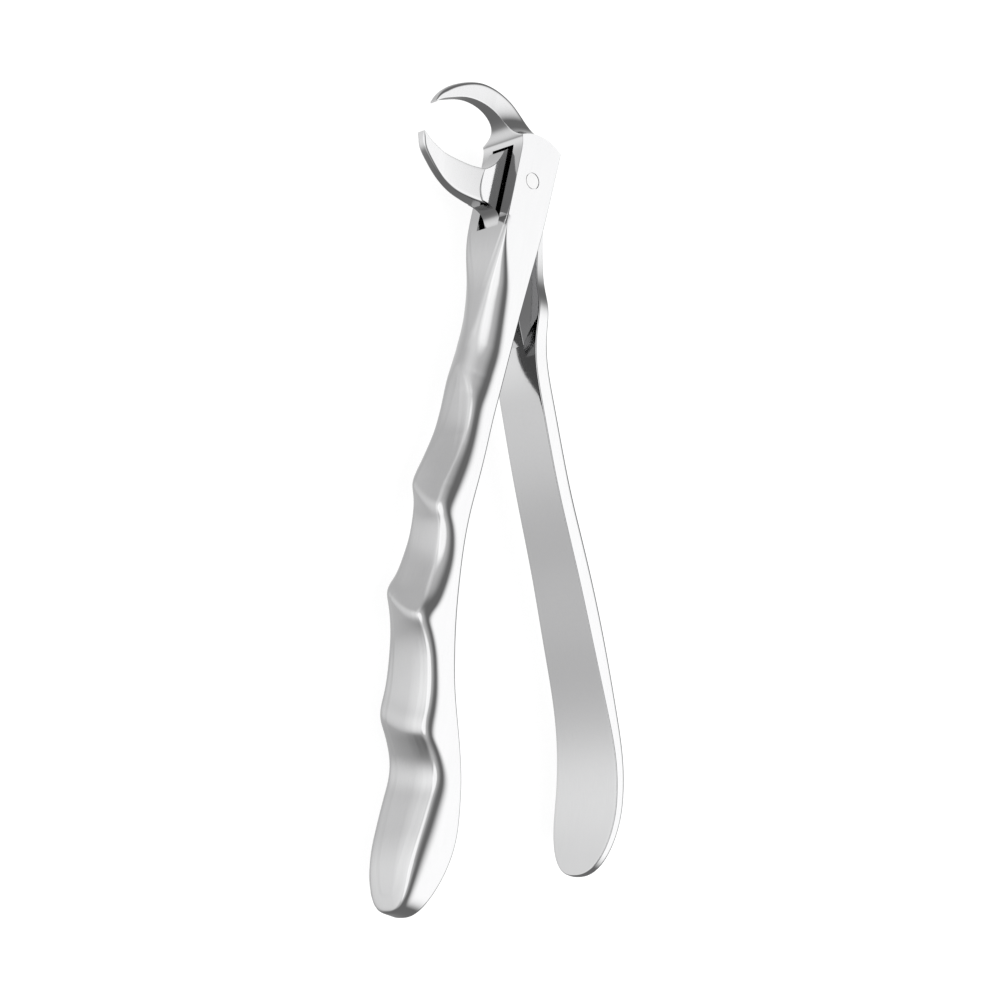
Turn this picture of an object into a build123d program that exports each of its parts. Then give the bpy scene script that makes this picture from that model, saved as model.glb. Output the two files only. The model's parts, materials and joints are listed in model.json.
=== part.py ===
"""Extraction forceps, English pattern for lower molars, with a box joint and an anatomical grip.

Three pieces: front_half (finger grip, slotted joint box, upper beak), rear_half (smooth handle, tongue,
lower beak) and pivot_pin. The forceps lies on its side: the pin axis is +Z, the handles run towards +X,
the beaks and the finger grip face -Y. The origin is the middle of the bounding box, at its lowest plane.
Every profile is drawn in joint coordinates, with the pin axis at 0, 0 and height 0 halfway through the
joint's thickness.
"""

from build123d import *
import os

os.makedirs("parts", exist_ok=True)

# Where the joint sits in the frame
PIVOT_X = -68.2
PIVOT_Y = -14.1

# Joint box and slot. The slot's foot slopes from the front face to its tail at the back.
JOINT_T = 12.8
BOX_FRONT = -4.4
BOX_REAR = 5.9
BOX_TOP = -8.5
BOX_CROWN = (-10.4, 1.3)
THROAT_FOOT_X = -7.0
SLOT_W = 6.7
SLOT_TOP = -7.15
SLOT_FOOT = (10.7, -4.6)
SLOT_TAIL = (36.5, 4.4)

# Pin: pressed into the cheeks, running in the tongue
PIN_D = 3.3
PIN_SINK = 0.05
PIN_CLEARANCE = 0.04

# Front handle
FRONT_END = 154.8
FRONT_PADDLE_W = 17.0
CREST_R = 2.5
GRIP_EDGE_R = 1.6

# Rear handle
REAR_END = 134.6
REAR_PADDLE_W = 19.0
REAR_EDGE_R = 0.8

# Tongue and its bearing boss
TONGUE_T = 4.9
CROWN_X = -6.2
TONGUE_FOOT = (10.4, -3.15)
BOSS_R = 3.0
BOSS_CLEARANCE = 0.1

# Beaks
TIP_W = 2.2
SHAFT_W = 2.6
LOWER_ROOT_W = 3.4

MID_Z = REAR_PADDLE_W / 2
# Long enough to pass right through a piece
ROOM = 120.0

# Which edges are rounded: the long outer ones of the grip behind the joint, and those to the handle's end
LONG_EDGE = 0.3
OUTER_EDGE_Z = 5.0
GRIP_EDGE_FROM = 12.5
REAR_EDGE_TO = 130.0

joint_plane = Plane(origin=(PIVOT_X, PIVOT_Y, MID_Z), x_dir=(1, 0, 0), z_dir=(0, 0, 1))
# Plan of a handle, seen along +Y: sketch X is the length, sketch Y the height
plan_plane = Plane(origin=(PIVOT_X, PIVOT_Y, MID_Z), x_dir=(1, 0, 0), z_dir=(0, -1, 0))
# Taper of a beak, seen along -X: sketch X is the frame's Y, sketch Y the height
taper_plane = Plane(origin=(PIVOT_X, PIVOT_Y, MID_Z), x_dir=(0, 1, 0), z_dir=(1, 0, 0))


def reach(edge):
    """How far an edge gets from the pin axis towards the handle ends."""
    return edge.bounding_box().max.X - PIVOT_X


def off_middle(edge):
    """How far an edge's centre stands from the plane halfway through the joint."""
    return abs(edge.center().Z - MID_Z)


def runs_lengthwise(edge):
    return edge.bounding_box().size.X > LONG_EDGE


# ---------------------------------------------------------------- front half
# Finger side of the grip: four crests with a scallop between each pair, then the end pad.
crests = [(36.0, -2.25), (67.5, -4.7), (91.5, -4.5), (116.5, 1.0)]
scallops = [(51.0, -1.75), (80.0, -2.55), (104.5, -0.6)]

with BuildPart() as grip_and_box:
    with BuildSketch(joint_plane) as grip_outline:
        with BuildLine():
            throat = Line((BOX_TOP, -5.2), (THROAT_FOOT_X, BOX_FRONT))
            box_front = Line(throat @ 1, (12.0, BOX_FRONT))
            Spline(box_front @ 1, (23.0, -2.5), crests[0], tangents=[(1, 0), (1, -0.05)])
            ThreePointArc(crests[0], scallops[0], crests[1])
            ThreePointArc(crests[1], scallops[1], crests[2])
            ThreePointArc(crests[2], scallops[2], crests[3])
            end_pad = Spline(
                crests[3], (121.5, 4.1), (127.5, 5.95), (142.0, 5.15), (151.5, 6.4), (FRONT_END, 10.2)
            )
            back = Spline(
                end_pad @ 1, (151.0, 12.0), (141.0, 13.2), (121.0, 9.7), (100.0, 4.0), (78.0, 1.4),
                (53.0, 2.8), (20.0, 4.7), (0.0, BOX_REAR - 0.2)
            )
            box_rear = Line(back @ 1, (BOX_TOP, BOX_REAR))
            ThreePointArc(box_rear @ 1, BOX_CROWN, throat @ 0)
        make_face()
        fillet(grip_outline.vertices().filter_by(lambda v: (v.X, v.Y) in crests), radius=CREST_R)
    extrude(amount=JOINT_T, both=True)
    with BuildSketch(plan_plane):
        with BuildLine():
            flare = Spline(
                (35.0, JOINT_T / 2), (70.0, 7.0), (105.0, 7.9), (130.0, FRONT_PADDLE_W / 2), (146.0, 7.4),
                (FRONT_END, 0.0), tangents=[(1, 0), (0, -1)]
            )
            flank = Line((-12.0, JOINT_T / 2), flare @ 0)
            Line((-12.0, -JOINT_T / 2), (-12.0, JOINT_T / 2))
            mirror(flare, Plane.XZ)
            mirror(flank, Plane.XZ)
        make_face()
    extrude(amount=ROOM, both=True, mode=Mode.INTERSECT)
    grip_edges = grip_and_box.edges().filter_by(
        lambda e: runs_lengthwise(e) and off_middle(e) > OUTER_EDGE_Z and reach(e) > GRIP_EDGE_FROM
    )
    fillet(grip_edges, radius=GRIP_EDGE_R)

with BuildPart() as upper_beak:
    with BuildSketch(joint_plane):
        with BuildLine():
            outside = Spline(
                (-6.0, 3.0), (-13.4, -0.8), (-17.2, -5.6), (-18.2, -11.6), (-15.6, -18.6), (-8.5, -24.6)
            )
            tip = Line(outside @ 1, (-8.2, -24.2))
            inside = Spline(tip @ 1, (-10.6, -21.2), (-13.3, -14.2), (-11.8, -7.8), (BOX_TOP, -5.2))
            Polyline(inside @ 1, (-4.0, -3.0), outside @ 0)
        make_face()
    extrude(amount=JOINT_T, both=True)
    with BuildSketch(taper_plane):
        with BuildLine():
            shaft = Line((-26.0, TIP_W / 2), (-14.0, SHAFT_W / 2))
            flare = Spline(shaft @ 1, (-8.6, 2.0), (-5.6, 4.2), (-3.6, JOINT_T / 2))
            root = Line(flare @ 1, (4.0, JOINT_T / 2))
            far_shaft = mirror(shaft, Plane.XZ)
            mirror(flare, Plane.XZ)
            far_root = mirror(root, Plane.XZ)
            Line(shaft @ 0, far_shaft @ 0)
            Line(root @ 1, far_root @ 1)
        make_face()
    extrude(amount=ROOM, both=True, mode=Mode.INTERSECT)

with BuildPart() as front_half:
    add(grip_and_box.part)
    add(upper_beak.part)
    with BuildSketch(joint_plane):
        with BuildLine():
            Polyline(
                (SLOT_TOP, -ROOM), (SLOT_FOOT[0], -ROOM), SLOT_FOOT, SLOT_TAIL,
                (SLOT_TAIL[0], ROOM), (SLOT_TOP, ROOM), close=True
            )
        make_face()
    extrude(amount=SLOT_W / 2, both=True, mode=Mode.SUBTRACT)
    with BuildSketch(joint_plane):
        Circle(PIN_D / 2)
    extrude(amount=JOINT_T, both=True, mode=Mode.SUBTRACT)

# ---------------------------------------------------------------- rear half
with BuildPart() as handle_and_neck:
    with BuildSketch(joint_plane):
        with BuildLine():
            inner_face = Spline(
                (35.5, 9.7), (73.7, 30.1), (103.3, 46.1), (115.0, 50.2), (126.0, 51.6), (REAR_END, 51.8)
            )
            handle_end = Line(inner_face @ 1, (REAR_END, 53.9))
            outer_face = Spline(
                handle_end @ 1, (122.0, 54.0), (106.0, 50.7), (72.2, 34.4), (44.0, 18.0), (32.3, 12.6),
                (21.0, 10.6), (6.0, 7.9)
            )
            Polyline(outer_face @ 1, (6.0, 6.6), inner_face @ 0)
        make_face()
    extrude(amount=JOINT_T, both=True)
    with BuildSketch(plan_plane):
        with BuildLine():
            flare = Spline(
                (27.0, JOINT_T / 2), (60.0, 6.8), (90.0, 7.7), (108.0, 8.7), (119.0, REAR_PADDLE_W / 2),
                (130.0, 7.0), (REAR_END, 0.0), tangents=[(1, 0), (0, -1)]
            )
            taper = Spline((2.0, 2.6), (15.0, 3.6), (27.0, JOINT_T / 2), tangents=[(1, 0), (1, 0)])
            Line((2.0, -2.6), (2.0, 2.6))
            mirror(flare, Plane.XZ)
            mirror(taper, Plane.XZ)
        make_face()
    extrude(amount=ROOM, both=True, mode=Mode.INTERSECT)
    back_edges = handle_and_neck.edges().filter_by(
        lambda e: runs_lengthwise(e) and off_middle(e) > OUTER_EDGE_Z and reach(e) > REAR_EDGE_TO
    ).group_by(Axis.Y)[-1]
    fillet(back_edges, radius=REAR_EDGE_R)

with BuildPart() as lower_beak:
    with BuildSketch(joint_plane):
        with BuildLine():
            inside = Spline((2.0, -4.0), (0.4, -9.3), (1.4, -15.0), (0.8, -21.8), (-1.1, -25.5))
            tip = Line(inside @ 1, (-0.9, -25.9))
            outside = Spline(tip @ 1, (3.9, -23.0), (7.1, -17.9), (8.1, -12.0), (7.4, -6.2))
            Line(outside @ 1, inside @ 0)
        make_face()
    extrude(amount=JOINT_T, both=True)
    with BuildSketch(taper_plane):
        with BuildLine():
            flank = Polyline(
                (-27.0, TIP_W / 2), (-14.0, SHAFT_W / 2), (-8.5, LOWER_ROOT_W / 2), (-2.0, LOWER_ROOT_W / 2)
            )
            far_flank = mirror(flank, Plane.XZ)
            Line(flank @ 0, far_flank @ 0)
            Line(flank @ 1, far_flank @ 1)
        make_face()
    extrude(amount=ROOM, both=True, mode=Mode.INTERSECT)

with BuildPart() as rear_half:
    add(handle_and_neck.part)
    add(lower_beak.part)
    with BuildSketch(joint_plane):
        with BuildLine():
            curl = ThreePointArc((0.9, -9.8), (-1.5, -7.4), (-5.4, -5.8))
            crown = Polyline(curl @ 1, (CROWN_X, -4.9), (CROWN_X, 2.0))
            heel = ThreePointArc(crown @ 1, (-4.4, 4.6), (0.0, 6.5))
            rear_flank = Spline(heel @ 1, (9.0, 8.2), (21.0, 10.4), (36.0, 14.0))
            shoulder = Line(rear_flank @ 1, (34.0, 10.0))
            underside = Line(shoulder @ 1, TONGUE_FOOT)
            nose = Spline(underside @ 1, (8.8, -4.1), (7.7, -6.4), (7.6, -8.6))
            Line(nose @ 1, curl @ 0)
        make_face()
    extrude(amount=TONGUE_T / 2, both=True)
    with BuildSketch(joint_plane):
        Circle(BOSS_R)
    extrude(amount=SLOT_W / 2 - BOSS_CLEARANCE, both=True)
    with BuildSketch(joint_plane):
        Circle(PIN_D / 2 + PIN_CLEARANCE)
    extrude(amount=JOINT_T, both=True, mode=Mode.SUBTRACT)

# ---------------------------------------------------------------- pivot pin: a rivet ground almost flush
with BuildPart() as pivot_pin:
    with BuildSketch(joint_plane):
        Circle(PIN_D / 2)
    extrude(amount=JOINT_T / 2 - PIN_SINK, both=True)

front_half.part.label = "front_half"
export_step(front_half.part, "parts/front_half.step")
rear_half.part.label = "rear_half"
export_step(rear_half.part, "parts/rear_half.step")
pivot_pin.part.label = "pivot_pin"
export_step(pivot_pin.part, "parts/pivot_pin.step")
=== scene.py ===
import json
import math

import bmesh
import bpy
import numpy as np
from mathutils import Matrix


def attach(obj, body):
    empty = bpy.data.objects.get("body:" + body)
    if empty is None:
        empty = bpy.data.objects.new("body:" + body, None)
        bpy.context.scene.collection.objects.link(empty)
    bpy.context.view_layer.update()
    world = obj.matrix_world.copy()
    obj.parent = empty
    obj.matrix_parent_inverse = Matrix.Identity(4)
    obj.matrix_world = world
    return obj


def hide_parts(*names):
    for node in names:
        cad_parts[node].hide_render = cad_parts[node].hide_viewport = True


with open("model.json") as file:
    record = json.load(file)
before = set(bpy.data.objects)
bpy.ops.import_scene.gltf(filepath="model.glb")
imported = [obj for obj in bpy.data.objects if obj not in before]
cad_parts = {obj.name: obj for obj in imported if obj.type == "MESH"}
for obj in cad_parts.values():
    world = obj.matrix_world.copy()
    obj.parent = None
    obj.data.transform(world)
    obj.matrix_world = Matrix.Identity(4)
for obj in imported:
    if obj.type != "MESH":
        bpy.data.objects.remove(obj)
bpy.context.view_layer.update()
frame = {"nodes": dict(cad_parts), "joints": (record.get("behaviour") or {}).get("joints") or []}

# ------------------------------------------------------------------------------------------ front half
# The half that the fingers wrap round: grip, slotted joint box and upper beak. It is drop forged in
# one piece of stainless steel, ground, and polished to a soft mirror. Crests run slantwise across the
# grip with scooped rests between them. Sizes are in millimetres from the middle of the pivot.

PIVOT = np.array(frame["joints"][0]["pos_m"])
MM = 0.001


def cubic(knots, values, x):
    """Natural cubic spline: between knots a and b, with curvatures A and B there, the value is the
    straight line from a to b plus ((u^3 - u) A + (v^3 - v) B) h^2 / 6, where h is the gap and
    u and v are the shares of it left and gone. Past the ends it carries on straight."""
    knots, values = np.asarray(knots, float), np.asarray(values, float)
    gap = np.diff(knots)
    slope = np.diff(values) / gap
    size = len(knots)
    system = np.eye(size)
    wanted = np.zeros(size)
    inner = np.arange(1, size - 1)
    system[inner, inner - 1] = gap[:-1]
    system[inner, inner] = 2 * (gap[:-1] + gap[1:])
    system[inner, inner + 1] = gap[1:]
    wanted[inner] = 6 * np.diff(slope)
    bend = np.linalg.solve(system, wanted)
    x = np.asarray(x, float)
    inside = np.clip(x, knots[0], knots[-1])
    i = np.clip(np.searchsorted(knots, inside) - 1, 0, size - 2)
    gone = (inside - knots[i]) / gap[i]
    left = 1 - gone
    curve = left * values[i] + gone * values[i + 1]
    curve += ((left**3 - left) * bend[i] + (gone**3 - gone) * bend[i + 1]) * gap[i] ** 2 / 6
    first = slope[0] - gap[0] * bend[1] / 6
    last = slope[-1] + gap[-1] * bend[-2] / 6
    return curve + np.minimum(x - knots[0], 0) * first + np.maximum(x - knots[-1], 0) * last


def steps(*stretches):
    """Stations along a piece: each stretch is (from, to, how many), evenly spaced, ends shared."""
    runs = [np.linspace(a, b, n + 1)[:-1] for a, b, n in stretches]
    return np.concatenate(runs + [[stretches[-1][1]]])


def loft(name, near, far):
    """A closed skin from two matching halves, near (z above 0) and far (z below 0). Both are grids of
    stations by points that run from the middle of the front face, round one side, to the middle of
    the back face. Quads join neighbours in the grids, and the first and last stations are closed by
    quads from near to far."""
    ring = np.concatenate([near, far[:, -2:0:-1]], axis=1)
    stations, around = ring.shape[:2]
    half = near.shape[1]
    index = np.arange(stations * around).reshape(stations, around)
    a, b = index[:-1], index[1:]
    skin = np.stack([a, np.roll(a, -1, 1), np.roll(b, -1, 1), b], -1).reshape(-1, 4)
    k = np.arange(half - 1)
    mirror = (around - k) % around
    after = (around - k - 1) % around
    caps = [np.stack([row[k], row[mirror], row[after], row[k + 1]], -1) for row in index[[0, -1]]]
    return mesh_of(name, ring.reshape(-1, 3), np.concatenate([skin, *caps]))


MERGE_WITHIN = 2e-7
FLAT_WITHIN = 1e-7


def mesh_of(name, points, quads):
    """A mesh in the object's frame from points in joint millimetres: the pivot is added, doubles are
    merged and the faces are turned outwards."""
    data = bpy.data.meshes.new(name)
    faces = [tuple(dict.fromkeys(q)) for q in quads.tolist()]
    data.from_pydata((points * MM + PIVOT).tolist(), [], faces)
    b = bmesh.new()
    b.from_mesh(data)
    bmesh.ops.remove_doubles(b, verts=b.verts, dist=MERGE_WITHIN)
    bmesh.ops.dissolve_degenerate(b, edges=b.edges, dist=FLAT_WITHIN)
    bmesh.ops.recalc_face_normals(b, faces=b.faces)
    b.to_mesh(data)
    b.free()
    made = bpy.data.objects.new(name, data)
    bpy.context.scene.collection.objects.link(made)
    return made


CORNER_STEPS = 12
SCOOP_SOFTNESS = 0.5


def plate(spine, lean, outline, front, back, front_edge, back_edge, side_steps, face_steps, scoop=None):
    """Half a plate with rounded edges, as a grid of stations by points. spine(s) is its path and
    lean(s) the unit vector across its thickness. outline is its plan: s and half width. The front
    face lies front(s, z) along lean and the back face back(s, z). An edge of radius r at angle p
    stands r (1 - sin p) inside the outline, along the outline's own normal, and r (1 - cos p)
    inside the face. front_edge and back_edge give that radius twice, across z and through the
    thickness, so an edge can be a quarter of an ellipse. Where the front face is already scooped,
    scoop(s, z) deep, d is the front edge's depth less the scoop, and the edge stands the mean of d and
    the root of (d squared plus a little) inside the face."""
    s, half = outline[:, 0], outline[:, 1]
    run = np.gradient(s)
    rise = np.gradient(half)
    length = np.hypot(run, rise)
    out_s, out_z = -rise / length, run / length
    out_s[-1], out_z[-1] = 1.0, 0.0
    turn = np.linspace(0, math.pi / 2, CORNER_STEPS + 1)
    wide1, wide2 = front_edge[0][:, None], back_edge[0][:, None]
    deep1, deep2 = front_edge[1][:, None], back_edge[1][:, None]
    tuck1, tuck2 = wide1 * (1 - np.sin(turn)), wide2 * (1 - np.sin(turn[::-1]))
    share = np.linspace(0, 1, face_steps + 1)[:-1]
    level = np.concatenate([
        np.repeat(tuck1[:, :1], face_steps, 1), tuck1, np.zeros((len(s), side_steps - 1)), tuck2,
        np.repeat(tuck2[:, -1:], face_steps, 1)
    ], axis=1)
    along = s[:, None] - out_s[:, None] * level
    z = np.maximum(half[:, None] - out_z[:, None] * level, 0)
    z[:, :face_steps] *= share
    z[:, -face_steps:] *= share[::-1]
    grids = []
    for sign in (1, -1):
        front_at = front(along, sign * z)
        back_at = back(along, sign * z)
        depth1 = np.concatenate([np.zeros((len(s), face_steps)), deep1 * (1 - np.cos(turn))], axis=1)
        if scoop is not None:
            cut = scoop(along, sign * z)[:, :depth1.shape[1]]
            over = depth1 - cut
            soft = SCOOP_SOFTNESS * np.minimum(cut, 1)
            depth1 = np.where(depth1 > 0, (over + np.sqrt(over**2 + soft**2)) / 2, 0)
        round2 = deep2 * (1 - np.cos(turn[::-1]))
        depth2 = np.concatenate([round2, np.zeros((len(s), face_steps))], axis=1)
        in_front, behind = depth1.shape[1], depth1.shape[1] + side_steps - 1
        offset = np.empty_like(along)
        offset[:, :in_front] = front_at[:, :in_front] + depth1
        offset[:, behind:] = back_at[:, behind:] - depth2
        start, end = offset[:, in_front - 1:in_front], offset[:, behind:behind + 1]
        offset[:, in_front:behind] = start + (end - start) * np.linspace(0, 1, side_steps + 1)[1:-1]
        place = spine(along) + lean(along) * offset[..., None]
        grids.append(np.concatenate([place, (sign * z)[..., None]], -1))
    return grids


FINE_STEPS = 2000


def plan_end(length, start, half, power, count):
    """The rounded end of a plan: a superellipse, where ((s - start) / reach)^power plus
    (width / full width)^power is 1, in even steps along its edge."""
    angle = np.linspace(0, math.pi / 2, FINE_STEPS)
    q, v = np.sin(angle) ** (2 / power), np.cos(angle) ** (2 / power)
    s = start + (length - start) * q
    w = half(s) * v
    w[-1] = 0
    gone = np.concatenate([[0], np.cumsum(np.hypot(np.diff(s), np.diff(w)))])
    even = np.linspace(0, gone[-1], count + 1)[1:]
    return np.stack([np.interp(even, gone, s), np.interp(even, gone, w)], -1)


# The finger side's profile, and the back's, along X from the pivot
FACE_X = [-10, -8.5, -6.8, -4.6, -2, 0, 6, 10.5, 16, 22, 27, 33, 38, 40.5, 46, 51.5, 57, 62, 66, 68.3,
          70.6, 74, 79, 84, 88.5, 91.5, 94, 97.5, 102, 107, 112, 115.3, 117, 119, 121, 124, 127, 131,
          137, 143, 147, 151, 156]
FACE_Y = [-5.8, -5.05, -4.55, -4.37, -4.35, -4.35, -4.35, -4.35, -4.06, -3.5, -3.31, -3.37, -3.65,
          -3.39, -2.98, -2.93, -3.64, -4.93, -5.73, -5.77, -4.77, -3.75, -3.38, -3.97, -5.0, -5.82,
          -4.73, -3.05, -1.65, -0.67, -0.3, -0.2, 0.35, 1.75, 3.1, 4.58, 5.22, 5.09, 4.68, 4.39, 4.65,
          5.4, 6.6]
BACK_X = [-12, 3, 10, 18.5, 25.6, 32.6, 39.5, 46, 53, 60, 66.6, 73, 80, 87, 95, 104, 110, 115.5, 121,
          126.7, 132.4, 138, 144, 149, 156]
BACK_Y = [6.1, 5.7, 5.5, 4.95, 4.5, 4.1, 3.75, 3.4, 2.95, 2.7, 2.3, 1.8, 1.75, 2.25, 3.2, 4.8, 6.2, 8.0,
          9.9, 11.6, 12.7, 13.35, 13.0, 12.0, 10.2]
# How far each crest shifts along the grip from its far end to its near end
SLANT_X = [12, 25, 38, 47, 58, 68, 76, 84, 91, 98, 105, 112, 120, 128, 140]
SLANT = [0, 2, 8.5, 8, 5.5, 7, 7.2, 6.5, 6.5, 6.5, 5.0, 4.2, 3.8, 2, 0]
# The scoop of the first rest, into the rounded edge
SCOOP_X = [30, 37, 39, 43, 48, 53, 58, 63, 70]
SCOOP = [0, 0, 0.3, 1.2, 1.5, 1.2, 0.5, 0, 0]
BOX_START = -8.5
GRIP_END = 154.6
PAD_START = 131.0
PAD_POWER = 2.8
GRIP_HALF_X = [-12, 30, 50, 70, 90, 110, 127, 140, 156]
GRIP_HALF = [6.4, 6.4, 6.5, 7.0, 7.5, 8.1, 8.5, 8.5, 8.3]
# How far the rounded edge of the finger side reaches across the width, and through the thickness
ROUND_X = [-12, 9, 14, 20, 25, 37, 45, 52, 58, 67, 76, 82, 91, 98, 105, 112, 118, 125, 133, 140, 146,
           151, 155]
ROUND_WIDE = [0.2, 0.2, 1.5, 3.8, 5.4, 6.2, 6.0, 5.0, 4.2, 3.0, 2.4, 3.6, 4.4, 3.3, 3.2, 3.5, 3.8, 4.2,
              4.4, 4.6, 4.6, 4.2, 3.4]
ROUND_DEEP = [0.2, 0.2, 1.3, 3.0, 4.2, 5.0, 4.7, 4.7, 4.5, 4.0, 3.4, 3.6, 4.2, 3.8, 3.2, 3.6, 3.9, 4.6,
              5.5, 6.2, 6.0, 4.6, 2.6]
BACK_ROUND_X = [0, 30, 100, 120, 156]
BACK_ROUND = [0.25, 0.8, 1.4, 0.8, 0.8]
# How far the near side of the end pad falls away before its rounded edge
FALL_X = [98, 105, 112, 118, 125, 133, 140, 146, 151, 155]
FALL = [0, 0.3, 0.5, 0.6, 0.6, 0.6, 0.6, 0.5, 0.3, 0]
FALL_FROM = 0.2
FALL_POWER = 1.5
CREST_FROM = 0.8
CREST_POWER = 1.8


def grip_half(x):
    """Half the width of the box and the grip: a cubic spline along X."""
    return cubic(GRIP_HALF_X, GRIP_HALF, x)


def slanted(x, z):
    """x less the slant of the crests, which grows across the width as 1 - (1 - q)^1.8, where q is 0
    near the far edge and 1 at the near edge, and runs on in a straight line where q is below 0."""
    q = (z / grip_half(x) + CREST_FROM) / (1 + CREST_FROM)
    shape = np.where(q < 0, CREST_POWER * q, 1 - np.maximum(1 - q, 0) ** CREST_POWER)
    return x - np.interp(x, SLANT_X, SLANT) * shape


def grip_face(x, z):
    """The finger side: the profile of crests and rests along the slant. The end pad falls away
    towards its near edge by the share of the half width past a fifth, to the power 1.5."""
    past = np.clip((z / grip_half(x) - FALL_FROM) / (1 - FALL_FROM), 0, 1)
    return cubic(FACE_X, FACE_Y, slanted(x, z)) + np.interp(x, FALL_X, FALL) * past**FALL_POWER


def grip_scoop(x, z):
    """How deep the first rest is scooped below the rounded edge, along the slant of the crests."""
    return np.maximum(cubic(SCOOP_X, SCOOP, slanted(x, z)), 0)


def grip_back(x, z):
    """The side away from the fingers, level across the width: a cubic spline along X."""
    return cubic(BACK_X, BACK_Y, x)


EASE = 3.0
EASE_STEPS = 12


def eased(knots, values, x):
    """Straight runs between knots, with each corner softened: the mean of the runs over a window of
    EASE each way."""
    window = np.linspace(-EASE, EASE, EASE_STEPS + 1)
    return np.interp(x[:, None] + window, knots, values).mean(1)


def straight(s):
    """A path along X: the point (s, 0)."""
    return np.stack([s, np.zeros_like(s)], -1)


def sideways(s):
    """Across a path along X: the unit vector (0, 1) everywhere."""
    return np.stack([np.zeros_like(s), np.ones_like(s)], -1)


grip_stations = steps((BOX_START, -4, 18), (-4, 9, 13), (9, 30, 52), (30, PAD_START, 224))
grip_plan = np.concatenate([
    np.stack([grip_stations, grip_half(grip_stations)], -1),
    plan_end(GRIP_END, PAD_START, grip_half, PAD_POWER, count=66)
])
front_edge = [eased(ROUND_X, sizes, grip_plan[:, 0]) for sizes in (ROUND_WIDE, ROUND_DEEP)]
back_edge = [eased(BACK_ROUND_X, BACK_ROUND, grip_plan[:, 0])] * 2
grip_near, grip_far = plate(
    straight, sideways, grip_plan, grip_face, grip_back, front_edge, back_edge,
    side_steps=10, face_steps=14, scoop=grip_scoop
)

# The cheeks end in an arc: the first stations are bent on to it, less and less with distance
ARC_MIDDLE = (-0.1, 0.75)
ARC_RADIUS = 10.31
ARC_REACH = 9.0
ARC_FADES_AT = 4.0
for grid in (grip_near, grip_far):
    up_arc = np.minimum(np.abs(grid[..., 1] - ARC_MIDDLE[1]), ARC_REACH)
    arc_x = ARC_MIDDLE[0] - np.sqrt(ARC_RADIUS**2 - up_arc**2)
    fade = np.clip((ARC_FADES_AT - grid[..., 0]) / (ARC_FADES_AT - BOX_START), 0, 1)
    grid[..., 0] += (arc_x - BOX_START) * fade
grip = loft("front_half_shell", grip_near, grip_far)


SMALL_STEP = 0.01


def path_through(points):
    """A smooth path through points: x and y are cubics in the length run along the chords. Returns
    the path, the unit vector to its right hand side, and its length."""
    points = np.asarray(points, float)
    gone = np.concatenate([[0], np.cumsum(np.hypot(*np.diff(points, axis=0).T))])

    def place(s):
        return np.stack([cubic(gone, points[:, 0], s), cubic(gone, points[:, 1], s)], -1)

    def right(s):
        ahead = place(s + SMALL_STEP) - place(s - SMALL_STEP)
        ahead /= np.linalg.norm(ahead, axis=-1, keepdims=True)
        return np.stack([ahead[..., 1], -ahead[..., 0]], -1)

    return place, right, gone[-1]


def between(inner, outer, count):
    """Pairs two smooth edges of a beak: both are run from tip to root in equal shares of length."""
    share = np.linspace(0, 1, count)
    grids = []
    for points in (inner, outer):
        place, _, length = path_through(points)
        grids.append(place(share * length))
    return grids


ACROSS_STEPS = 14
EDGE_STEPS = 6
INNER_SHARE = 0.3
OUTER_SHARE = 0.45


def blade(name, inner, outer, half, inner_round, outer_round):
    """A beak: a band between an inner and an outer edge, whose side stands half(x, y, a) above the
    middle plane, where a is the share of the way across. Its edges are quarter circles, as on a
    plate, and take up no more than a set share of its width."""
    gap = outer - inner
    width = np.linalg.norm(gap, axis=-1)[:, None]
    r1 = np.minimum(inner_round, width * INNER_SHARE)
    r2 = np.minimum(outer_round, width * OUTER_SHARE)
    turn = np.linspace(0, math.pi / 2, EDGE_STEPS + 1)
    middle = np.linspace(0, 1, ACROSS_STEPS + 1)[1:-1]
    a = np.concatenate([
        np.zeros((len(width), EDGE_STEPS)), r1 * (1 - np.cos(turn)), r1 + (width - r1 - r2) * middle,
        width - r2 * (1 - np.cos(turn[::-1])), np.repeat(width, EDGE_STEPS, 1)
    ], axis=1) / width
    drop = np.concatenate([
        np.repeat(r1, EDGE_STEPS, 1), r1 * (1 - np.sin(turn)), np.zeros((len(width), len(middle))),
        r2 * (1 - np.sin(turn[::-1])), np.repeat(r2, EDGE_STEPS, 1)
    ], axis=1)
    place = inner[:, None] + gap[:, None] * a[..., None]
    z = half(place[..., 0], place[..., 1], a) - drop
    z[:, :EDGE_STEPS] *= np.linspace(0, 1, EDGE_STEPS + 1)[:-1]
    z[:, -EDGE_STEPS:] *= np.linspace(1, 0, EDGE_STEPS + 1)[1:]
    near = np.concatenate([place, z[..., None]], -1)
    return loft(name, near, near * (1, 1, -1))


UPPER_INNER = [(-8.3, -24.3), (-9.2, -23.5), (-10.6, -21.4), (-12.5, -17.7), (-13.3, -14.0),
               (-13.0, -10.6), (-11.8, -7.9), (-10.2, -6.15), (-8.5, -5.1), (-7.6, -4.2)]
UPPER_OUTER = [(-8.6, -24.5), (-10.4, -23.9), (-12.4, -22.6), (-14.6, -20.2), (-16.5, -17.2),
               (-17.8, -13.9), (-18.1, -11.0), (-17.8, -8.2), (-16.9, -5.2), (-15.2, -2.4),
               (-12.8, 0.2), (-9.8, 1.8), (-7.4, 2.4)]
UPPER_TAPER_Y = [-25, -16, -10]
UPPER_TAPER = [1.0, 1.3, 1.5]
CHEEK_HALF = 6.4
ROOT_SINK = (0.03, 0.25)
SWEEP = 1.8
INNER_EDGE = 0.12
UPPER_OUTER_EDGE = 1.1


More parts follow.
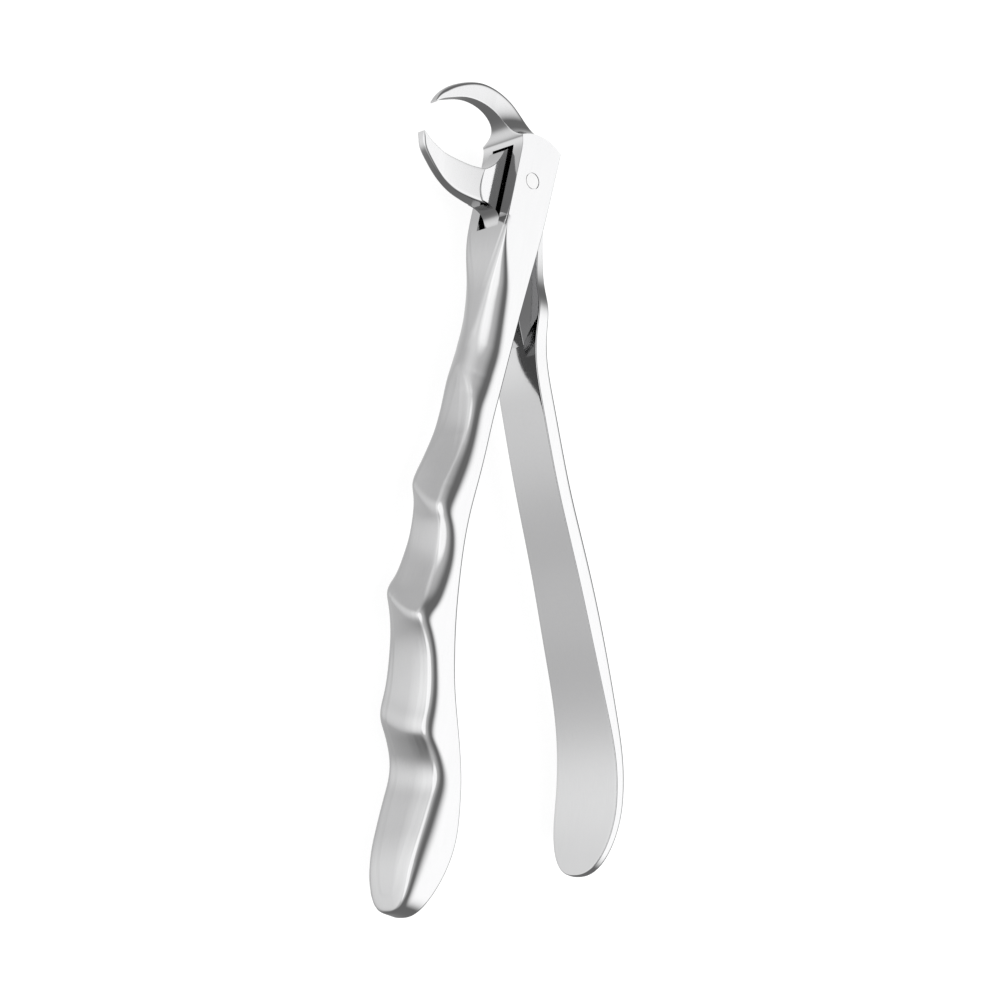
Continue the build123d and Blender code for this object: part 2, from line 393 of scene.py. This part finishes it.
def upper_half(x, y, a):
    """The beak's side: thin at the tip, and close to the cheek it sweeps up as e^(-distance / 1.8) to
    just below the cheek's face, and a little lower past the first third across."""
    shaft = np.interp(y, UPPER_TAPER_Y, UPPER_TAPER)
    away = np.maximum(np.hypot(x - ARC_MIDDLE[0], y - ARC_MIDDLE[1]) - ARC_RADIUS, 0)
    top = CHEEK_HALF - ROOT_SINK[0] - ROOT_SINK[1] * np.clip(a * 3, 0, 1)
    return shaft + (top - shaft) * np.exp(-away / SWEEP)


inner, outer = between(UPPER_INNER, UPPER_OUTER, count=90)
upper_beak = blade("upper_beak_shell", inner, outer, upper_half, INNER_EDGE, UPPER_OUTER_EDGE)


def slab(name, outline, half, edge, middle=0.0):
    """A flat piece with bevelled rims: the outline is stacked at four heights about the middle one, and
    pulled in by edge along its own normal at the first and the last."""
    ahead = np.roll(outline, -1, 0) - np.roll(outline, 1, 0)
    ahead /= np.linalg.norm(ahead, axis=1, keepdims=True)
    area = np.sum(outline[:, 0] * np.roll(outline[:, 1], -1) - np.roll(outline[:, 0], -1) * outline[:, 1])
    inward = np.stack([-ahead[:, 1], ahead[:, 0]], -1) * np.sign(area)
    small = outline + inward * edge
    layers = [(small, -half), (outline, edge - half), (outline, half - edge), (small, half)]
    points = np.concatenate([
        np.column_stack([ring, np.full(len(ring), middle + z)]) for ring, z in layers
    ])
    count = len(outline)
    index = np.arange(4 * count).reshape(4, count)
    sides = np.stack([index[:-1], np.roll(index[:-1], -1, 1), np.roll(index[1:], -1, 1), index[1:]], -1)
    made = bpy.data.meshes.new(name)
    faces = sides.reshape(-1, 4).tolist() + [index[0, ::-1].tolist(), index[3].tolist()]
    made.from_pydata((points * MM + PIVOT).tolist(), [], faces)
    b = bmesh.new()
    b.from_mesh(made)
    bmesh.ops.recalc_face_normals(b, faces=b.faces)
    b.to_mesh(made)
    b.free()
    piece = bpy.data.objects.new(name, made)
    bpy.context.scene.collection.objects.link(piece)
    return piece


ROUND_STEPS = 96


def disc(radius):
    """A circle's outline: the points (radius cos a, radius sin a) in even steps of a."""
    angle = np.linspace(0, 2 * math.pi, ROUND_STEPS + 1)[:-1]
    return np.stack([radius * np.cos(angle), radius * np.sin(angle)], -1)


def carve(body, tools):
    """Joins or cuts closed shells exactly, then removes them. tools is a list of (shell, operation)."""
    for tool, operation in tools:
        step = body.modifiers.new("carve", "BOOLEAN")
        step.operation = operation
        step.object = tool
        step.solver = "EXACT"
        done = bpy.data.meshes.new_from_object(body.evaluated_get(bpy.context.evaluated_depsgraph_get()))
        body.modifiers.clear()
        body.data = done
        bpy.data.objects.remove(tool)


# The slot's outline, seen along the pin. It is open on the finger side and at the back.
SLOT = np.array([(-7.15, -20.0), (10.7, -20.0), (10.7, -4.6), (36.5, 4.4), (36.5, 20.0), (-7.15, 20.0)])
SLOT_HALF = 3.35
PIN_RADIUS = 1.65
PRESS_GAP = 0.02
# A fine groove round each end of the pin: its cutters reach 0.2 into the cheeks
RIM_WIDTH = 0.17
RIM_HALF = 1.0
RIM_MIDDLE = CHEEK_HALF + 0.8
THROUGH = 9.0
SHARP = 0.0001
carve(grip, [
    (upper_beak, "UNION"),
    (slab("slot_cutter", SLOT, SLOT_HALF, SHARP), "DIFFERENCE"),
    (slab("bore_cutter", disc(PIN_RADIUS + PRESS_GAP), THROUGH, SHARP), "DIFFERENCE"),
    (slab("near_rim_cutter", disc(PIN_RADIUS + RIM_WIDTH), RIM_HALF, SHARP, RIM_MIDDLE), "DIFFERENCE"),
    (slab("far_rim_cutter", disc(PIN_RADIUS + RIM_WIDTH), RIM_HALF, SHARP, -RIM_MIDDLE), "DIFFERENCE"),
])


def group_of(name, inputs, outputs):
    """An empty shader group with the given sockets, and its input and output nodes."""
    group = bpy.data.node_groups.new(name, "ShaderNodeTree")
    for socket, kind in inputs:
        group.interface.new_socket(socket, in_out="INPUT", socket_type=kind)
    for socket, kind in outputs:
        group.interface.new_socket(socket, in_out="OUTPUT", socket_type=kind)
    return group, group.nodes.new("NodeGroupInput"), group.nodes.new("NodeGroupOutput")


def noise_in(tree, vector, scale, detail):
    """Cloudy noise of 0 to 1 over the given coordinates, in features of one metre over scale."""
    made = tree.nodes.new("ShaderNodeTexNoise")
    made.inputs["Scale"].default_value = scale
    made.inputs["Detail"].default_value = detail
    tree.links.new(vector, made.inputs["Vector"])
    return made.outputs["Fac"]


def spread(tree, value, low, high, start=0.3, stop=0.7):
    """The value's range from start to stop, laid out from low to high."""
    made = tree.nodes.new("ShaderNodeMapRange")
    for socket, number in zip(("From Min", "From Max", "To Min", "To Max"), (start, stop, low, high)):
        made.inputs[socket].default_value = number
    tree.links.new(value, made.inputs["Value"])
    return made.outputs["Result"]


def maths(tree, operation, a, b):
    """One sum in a node tree, of numbers or sockets."""
    made = tree.nodes.new("ShaderNodeMath")
    made.operation = operation
    for socket, value in zip(made.inputs, (a, b)):
        if isinstance(value, (int, float)):
            socket.default_value = value
        else:
            tree.links.new(value, socket)
    return made.outputs[0]


# Polish: a cloudy haze left by the mop, and fine lines left by the belt that run along the piece
STRETCH = (1, 24, 24)
HAZE_SCALE, HAZE_DETAIL = 90.0, 3.0
LINE_SCALE, LINE_DETAIL = 120.0, 2.0
HAZE_ROUGHNESS, LINE_ROUGHNESS = (0.045, 0.085), (0.0, 0.045)
HAZE_SHADE, LINE_SHADE = (0.985, 1.0), (-0.012, 0.012)
LINE_HEIGHT = (0.0, 0.04)
polish, given, wanted = group_of(
    "polish", [("Vector", "NodeSocketVector"), ("Tone", "NodeSocketColor")],
    [("Base Color", "NodeSocketColor"), ("Roughness", "NodeSocketFloat"),
     ("Bump Height", "NodeSocketFloat")]
)
along = polish.nodes.new("ShaderNodeMapping")
along.inputs["Scale"].default_value = STRETCH
polish.links.new(given.outputs["Vector"], along.inputs["Vector"])
haze = noise_in(polish, given.outputs["Vector"], HAZE_SCALE, HAZE_DETAIL)
lines = noise_in(polish, along.outputs["Vector"], LINE_SCALE, LINE_DETAIL)
haze_rough, line_rough = spread(polish, haze, *HAZE_ROUGHNESS), spread(polish, lines, *LINE_ROUGHNESS)
haze_shade, line_shade = spread(polish, haze, *HAZE_SHADE), spread(polish, lines, *LINE_SHADE)
rough = maths(polish, "ADD", haze_rough, line_rough)
shade = maths(polish, "ADD", haze_shade, line_shade)
height = maths(polish, "ADD", haze, spread(polish, lines, *LINE_HEIGHT))
tint = polish.nodes.new("ShaderNodeVectorMath")
tint.operation = "SCALE"
polish.links.new(given.outputs["Tone"], tint.inputs[0])
polish.links.new(shade, tint.inputs["Scale"])
polish.links.new(tint.outputs["Vector"], wanted.inputs["Base Color"])
polish.links.new(rough, wanted.inputs["Roughness"])
polish.links.new(height, wanted.inputs["Bump Height"])

BUMP_STRENGTH = 0.3
BUMP_DISTANCE = 0.00002


def steel_of(name, tone):
    """Polished steel: the polish group gives its colour, roughness and a very low bump."""
    steel = bpy.data.materials.new(name)
    steel.use_nodes = True
    tree = steel.node_tree
    bsdf = tree.nodes["Principled BSDF"]
    bsdf.inputs["Metallic"].default_value = 1.0
    where = tree.nodes.new("ShaderNodeTexCoord")
    effect = tree.nodes.new("ShaderNodeGroup")
    effect.node_tree = polish
    effect.inputs["Tone"].default_value = (*tone, 1)
    tree.links.new(where.outputs["Object"], effect.inputs["Vector"])
    bump = tree.nodes.new("ShaderNodeBump")
    bump.inputs["Strength"].default_value = BUMP_STRENGTH
    bump.inputs["Distance"].default_value = BUMP_DISTANCE
    tree.links.new(effect.outputs["Base Color"], bsdf.inputs["Base Color"])
    tree.links.new(effect.outputs["Roughness"], bsdf.inputs["Roughness"])
    tree.links.new(effect.outputs["Bump Height"], bump.inputs["Height"])
    tree.links.new(bump.outputs["Normal"], bsdf.inputs["Normal"])
    return steel


CREASE_ANGLE = math.radians(32)
FACE_WEIGHT = 80


def dress(piece, name, material):
    """Names the piece, gives it its material, and shades it smooth between its sharp edges, with big
    faces weighing most."""
    piece.name = name
    piece.data.materials.clear()
    piece.data.materials.append(material)
    piece.data.shade_smooth()
    piece.data.set_sharp_from_angle(angle=CREASE_ANGLE)
    weigh = piece.modifiers.new("face_weighted", "WEIGHTED_NORMAL")
    weigh.keep_sharp = True
    weigh.weight = FACE_WEIGHT


steel = steel_of("polished_steel", (0.447, 0.447, 0.45))
dress(grip, "front_half_polished", steel)
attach(grip, "front")
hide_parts("front_half")

# ------------------------------------------------------------------------------------------ rear half
# The smooth handle for the palm, the tongue that passes through the slot, and the lower beak: a
# second forging of the same steel, ground and polished like the first. The tongue has a low round
# boss on each side that keeps it in the middle of the slot, and is bored to run on the pin.

BOW = [(6, 7.1), (21, 9.05), (35.4, 11.8), (44, 15.9), (59, 24.0), (73.7, 32.65), (88.5, 40.7),
       (103, 47.8), (110.9, 50.7), (119, 52.35), (127, 52.85), (134.4, 52.85)]
bow, bow_right, bow_length = path_through(BOW)
# Shares of the length, with the depth inside and outside the middle line, and the half width
BOW_DEPTH_S = [0, 0.115, 0.222, 0.292, 0.411, 0.529, 0.647, 0.759, 0.817, 0.876, 0.934, 1.0]
BOW_INSIDE = [0.5, 0.8, 1.8, 2.03, 2.15, 2.2, 2.1, 1.68, 1.45, 1.3, 1.15, 1.05]
BOW_OUTSIDE = [0.6, 1.7, 1.95, 2.03, 2.15, 2.2, 2.1, 1.68, 1.45, 1.3, 1.15, 1.05]
BOW_HALF_S = [0, 0.06, 0.1, 0.135, 0.175, 0.222, 0.411, 0.529, 0.647, 0.759, 0.817, 0.876, 1.0]
BOW_HALF = [2.9, 3.3, 4.4, 6.1, 6.35, 6.4, 6.7, 7.1, 7.64, 8.3, 9.0, 9.45, 9.45]
BOW_INNER_ROUND = 0.25
BOW_ROUND_S = [0, 16, 34, 60, 140]
BOW_ROUND = [0.2, 0.5, 1.3, 1.9, 1.2]
BOW_PAD_POWER = 2.4


def bow_half(s):
    """Half the handle's width: a cubic spline along its path."""
    return cubic(np.array(BOW_HALF_S) * bow_length, BOW_HALF, s)


def bow_inner(s, z):
    """The face towards the grip, level across the width: a cubic spline along the path."""
    return -cubic(np.array(BOW_DEPTH_S) * bow_length, BOW_INSIDE, s)


def bow_outer(s, z):
    """The face towards the palm, level across the width: a cubic spline along the path."""
    return cubic(np.array(BOW_DEPTH_S) * bow_length, BOW_OUTSIDE, s)


def bow_lean(s):
    """Across the handle's thickness, away from the grip: the unit vector to the path's left."""
    return -bow_right(s)


bow_pad_start = 0.88 * bow_length
bow_stations = steps((0, 30, 60), (30, bow_pad_start, 150))
bow_plan = np.concatenate([
    np.stack([bow_stations, bow_half(bow_stations)], -1),
    plan_end(bow_length, bow_pad_start, bow_half, BOW_PAD_POWER, count=60)
])
inner_edge = [np.full(len(bow_plan), BOW_INNER_ROUND)] * 2
outer_edge = [eased(BOW_ROUND_S, BOW_ROUND, bow_plan[:, 0])] * 2
bow_near, bow_far = plate(
    bow, bow_lean, bow_plan, bow_inner, bow_outer, inner_edge, outer_edge, side_steps=8, face_steps=12
)
handle = loft("rear_half_shell", bow_near, bow_far)

LOWER_INNER = [(-0.95, -25.7), (-0.1, -24.2), (0.8, -21.9), (1.35, -19.4), (1.45, -16), (1.2, -12.1),
               (0.75, -9.9), (0.3, -7.5)]
LOWER_OUTER = [(-0.8, -25.8), (2.1, -24.8), (3.9, -23), (5.7, -20.6), (7.2, -17.8), (7.9, -15.2),
               (8.05, -12), (7.9, -9.3), (7.3, -5.5)]
LOWER_OUTER_EDGE = 0.5
TIP_HALF = 1.1
WIDEN = 1.35
WIDEN_POWER = 1.4
WIDEN_FROM = -21
WIDEN_LEAN = 0.4
WIDEN_OVER = 11.2
WIDEN_LIMIT = 1.3
TONGUE_HALF = 2.45
TONGUE_SINK = 0.02


def lower_half(x, y, a):
    """The beak's side: thin at the tip, and wider by 1.35 times the share of the way up, to the power
    1.4, until it is just inside the tongue's flat side. The way up leans with x."""
    rise = np.clip((y - WIDEN_FROM - WIDEN_LEAN * x) / WIDEN_OVER, 0, WIDEN_LIMIT)
    return np.minimum(TIP_HALF + WIDEN * rise**WIDEN_POWER, TONGUE_HALF - TONGUE_SINK)


inner, outer = between(LOWER_INNER, LOWER_OUTER, count=80)
lower_beak = blade("lower_beak_shell", inner, outer, lower_half, INNER_EDGE, LOWER_OUTER_EDGE)


def outline_of(*stretches):
    """A closed outline from stretches of points, each smoothed on its own and run in even steps.
    Neighbouring stretches share their end points."""
    rows = []
    for points, count in stretches:
        if len(points) == 2:
            share = np.linspace(0, 1, count + 1)[:-1, None]
            rows.append(np.array(points[0]) * (1 - share) + np.array(points[1]) * share)
        else:
            place, _, length = path_through(points)
            rows.append(place(np.linspace(0, length, count + 1)[:-1]))
    return np.concatenate(rows)


TONGUE_BEVEL = 0.08
BOSS_RADIUS = 3.0
BOSS_HALF = 3.25
BOSS_BEVEL = 0.05
BEARING_GAP = 0.04
# Round the tongue: the throat beside the lower beak, the crown's bevel, its flat and its back corner,
# the outer side under the neck, the end inside the handle, the inner side towards the grip, and the
# heel, which runs down into the beak
tongue_outline = outline_of(
    ([(0.9, -9.8), (-0.5, -8.2), (-2.4, -6.9), (-5.4, -5.8)], 24),
    ([(-5.4, -5.8), (-6.2, -4.9)], 2),
    ([(-6.2, -4.9), (-6.2, 2.0)], 4),
    ([(-6.2, 2.0), (-4.4, 4.6), (0.0, 6.5)], 12),
    ([(0.0, 6.5), (9.0, 7.9), (21.0, 9.4), (36.0, 13.5)], 20),
    ([(36.0, 13.5), (34.0, 10.0)], 2),
    ([(34.0, 10.0), (10.4, -3.15)], 4),
    ([(10.4, -3.15), (8.8, -4.1), (7.7, -6.4), (7.6, -8.6)], 24),
    ([(7.6, -8.6), (6.3, -9.35), (3.9, -9.9), (0.9, -9.8)], 16)
)
tongue = slab("tongue_shell", tongue_outline, TONGUE_HALF, TONGUE_BEVEL)
boss = slab("boss_shell", disc(BOSS_RADIUS), BOSS_HALF, BOSS_BEVEL)
carve(handle, [
    (tongue, "UNION"),
    (lower_beak, "UNION"),
    (boss, "UNION"),
    (slab("bearing_cutter", disc(PIN_RADIUS + BEARING_GAP), THROUGH, SHARP), "DIFFERENCE"),
])

dress(handle, "rear_half_polished", steel)
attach(handle, "rear")
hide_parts("rear_half")

# ------------------------------------------------------------------------------------------- pivot pin
# The rivet that joins the two halves: a turned steel pin, pressed into both cheeks and ground almost
# flush with them. Its shape is the CAD node's own, and its roughness follows fine turned rings.

RING_SCALE = 900.0
RING_WAVER = 0.6
RING_ROUGHNESS = (0.07, 0.15)
pin_node = frame["nodes"]["pivot_pin"]
pin_node.data.materials.clear()
pin_steel = steel_of("pin_steel", (0.45, 0.45, 0.45))
tree = pin_steel.node_tree
centred = tree.nodes.new("ShaderNodeMapping")
centred.inputs["Location"].default_value = (-PIVOT).tolist()
where = next(node for node in tree.nodes if node.type == "TEX_COORD")
tree.links.new(where.outputs["Object"], centred.inputs["Vector"])
rings = tree.nodes.new("ShaderNodeTexWave")
rings.wave_type = "RINGS"
rings.rings_direction = "Z"
rings.inputs["Scale"].default_value = RING_SCALE
rings.inputs["Distortion"].default_value = RING_WAVER
tree.links.new(centred.outputs["Vector"], rings.inputs["Vector"])
turned = spread(tree, rings.outputs["Fac"], *RING_ROUGHNESS, 0.0, 1.0)
tree.links.new(turned, tree.nodes["Principled BSDF"].inputs["Roughness"])
pin_node.data.materials.append(pin_steel)

# ----------------------------------------------------------------------------------------------- floor
# The pale sheet that the forceps lie on: matt card, lit evenly from all round, which is why it glows
# a little by itself. It is part of the set and not of the object, and the steel does not mirror it.

FLOOR_HALF = 3.0
FLOOR_TONE = (0.295, 0.305)
FLOOR_GLOW = 0.85
GRAIN_SCALE, GRAIN_DETAIL = 40.0, 4.0
floor_corners = [(x * FLOOR_HALF, y * FLOOR_HALF, 0) for x, y in ((-1, -1), (1, -1), (1, 1), (-1, 1))]
floor_mesh = bpy.data.meshes.new("floor")
floor_mesh.from_pydata(floor_corners, [], [(0, 1, 2, 3)])
floor = bpy.data.objects.new("floor", floor_mesh)
bpy.context.scene.collection.objects.link(floor)
pale = bpy.data.materials.new("pale_floor")
pale.use_nodes = True
card = pale.node_tree
bsdf = card.nodes["Principled BSDF"]
grain = noise_in(card, card.nodes.new("ShaderNodeTexCoord").outputs["Object"], GRAIN_SCALE, GRAIN_DETAIL)
card.links.new(spread(card, grain, *FLOOR_TONE), bsdf.inputs["Base Color"])
bsdf.inputs["Roughness"].default_value = 1.0
bsdf.inputs["Specular IOR Level"].default_value = 0.0
bsdf.inputs["Emission Color"].default_value = (1, 1, 1, 1)
bsdf.inputs["Emission Strength"].default_value = FLOOR_GLOW
floor_mesh.materials.append(pale)
floor.visible_glossy = False

# ---------------------------------------------------------------------------------------------- lights
# The room that the steel mirrors: a dim even surround with soft patches of light in it. Each patch has
# a direction from the object, the cosines at which it starts and is full, and a strength.

PATCHES = [
    # light off the table past the beaks, and a narrower patch of it low in front
    ((-0.45, -0.35, -0.82), 0.3, 0.95, 0.64),
    ((0.05, -0.7, -0.71), 0.85, 1.0, 0.42),
    # the soft light in front, and its bright middle
    ((0.1, -0.985, 0.14), 0.35, 0.9, 0.8),
    ((0.1, -0.985, 0.14), 0.8, 0.94, 1.0),
    # the light behind and above
    ((0.05, 0.74, 0.67), 0.54, 0.91, 1.9),
]
SURROUND = 0.28
WALL = 1.05
world = bpy.data.worlds.new("studio")
world.use_nodes = True
nodes, links = world.node_tree.nodes, world.node_tree.links
nodes.clear()
shown = nodes.new("ShaderNodeOutputWorld")
sky = nodes.new("ShaderNodeBackground")
links.new(sky.outputs["Background"], shown.inputs["Surface"])
coords = nodes.new("ShaderNodeTexCoord")


def lobe(direction, start, full, strength):
    """A soft patch of light: smoothstep of the cosine between the ray and the patch's middle."""
    dot = nodes.new("ShaderNodeVectorMath")
    dot.operation = "DOT_PRODUCT"
    links.new(coords.outputs["Generated"], dot.inputs[0])
    unit = np.array(direction, float)
    dot.inputs[1].default_value = (unit / np.linalg.norm(unit)).tolist()
    fall = nodes.new("ShaderNodeMapRange")
    fall.interpolation_type = "SMOOTHSTEP"
    links.new(dot.outputs["Value"], fall.inputs["Value"])
    fall.inputs["From Min"].default_value = start
    fall.inputs["From Max"].default_value = full
    fall.inputs["To Min"].default_value = 0.0
    fall.inputs["To Max"].default_value = strength
    return fall.outputs["Result"]


light = SURROUND
for patch in PATCHES:
    light = maths(world.node_tree, "ADD", lobe(*patch), light)
# The camera sees an even pale wall behind the floor. The steel and the floor see the patches
seen_by = nodes.new("ShaderNodeLightPath")
wall = nodes.new("ShaderNodeMix")
links.new(seen_by.outputs["Is Camera Ray"], wall.inputs["Factor"])
links.new(light, wall.inputs["A"])
wall.inputs["B"].default_value = WALL
links.new(wall.outputs["Result"], sky.inputs["Color"])
bpy.context.scene.world = world

# ---------------------------------------------------------------------------------------------- camera
# A long lens above the front of the forceps, turned so that the joint is at the top of the picture,
# the beaks point left and the handles run down it. Its axes are made exactly square first.

LENS_MM = 100.0
SENSOR_MM = 36.0
FAR_CLIP = 20.0
PLACE = (0.1807, -0.3321, 0.4361)
right = np.array((-0.189, 0.735, 0.652))
up = np.array((-0.928, -0.351, 0.126))
back = np.array((0.321, -0.581, 0.748))
turn, _, turn_t = np.linalg.svd(np.column_stack([right, up, back]))
view = bpy.data.cameras.new("camera")
view.lens = LENS_MM
view.sensor_width = SENSOR_MM
view.clip_end = FAR_CLIP
camera = bpy.data.objects.new("camera", view)
stand = Matrix((turn @ turn_t).tolist()).to_4x4()
stand.translation = PLACE
camera.matrix_world = stand
bpy.context.scene.collection.objects.link(camera)
bpy.context.scene.camera = camera
bpy.context.scene.view_settings.view_transform = "Standard"
